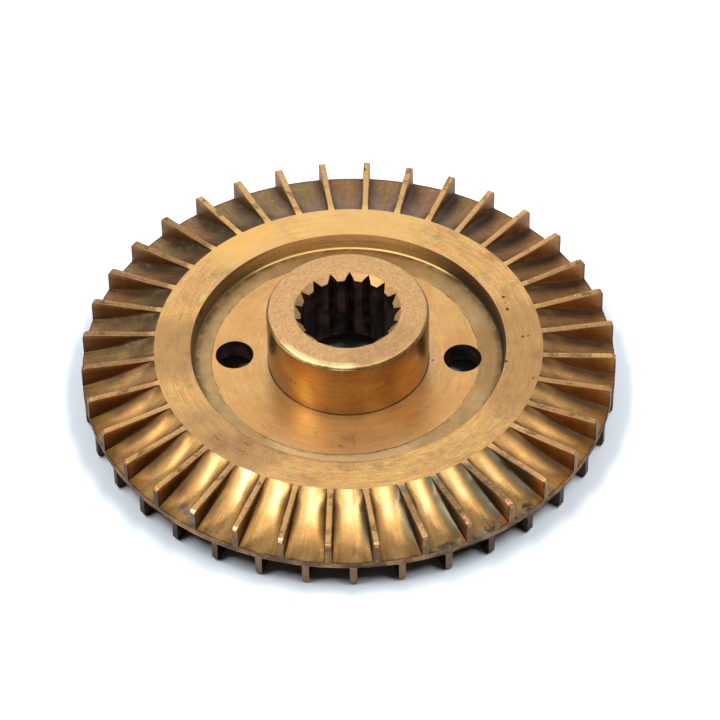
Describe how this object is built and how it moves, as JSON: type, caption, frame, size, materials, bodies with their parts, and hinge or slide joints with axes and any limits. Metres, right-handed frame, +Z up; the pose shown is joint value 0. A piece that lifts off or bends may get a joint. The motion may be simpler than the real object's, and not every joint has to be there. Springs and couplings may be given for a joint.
{
  "type": "pump impeller",
  "caption": "Brass impeller of a peripheral pump: a flat disc with short vanes on both faces of its rim and a raised hub with a serrated shaft bore.",
  "frame": {"origin": "on the bore's axis, in the plane of the lower land and lower vane edges, which the part rests on", "axes": "+Z up along the bore towards the raised hub's face, +X through the centre of a balance hole, +Y at right angles to both"},
  "size_m": [0.1, 0.1, 0.0198],
  "materials": {
    "cast_brass": "cast and turned brass, dulled by water, with fine turning rings, a little verdigris in the vane roots and brighter worn edges"
  },
  "bodies": {
    "root": {"impeller": "cast_brass"}
  },
  "joints": []
}
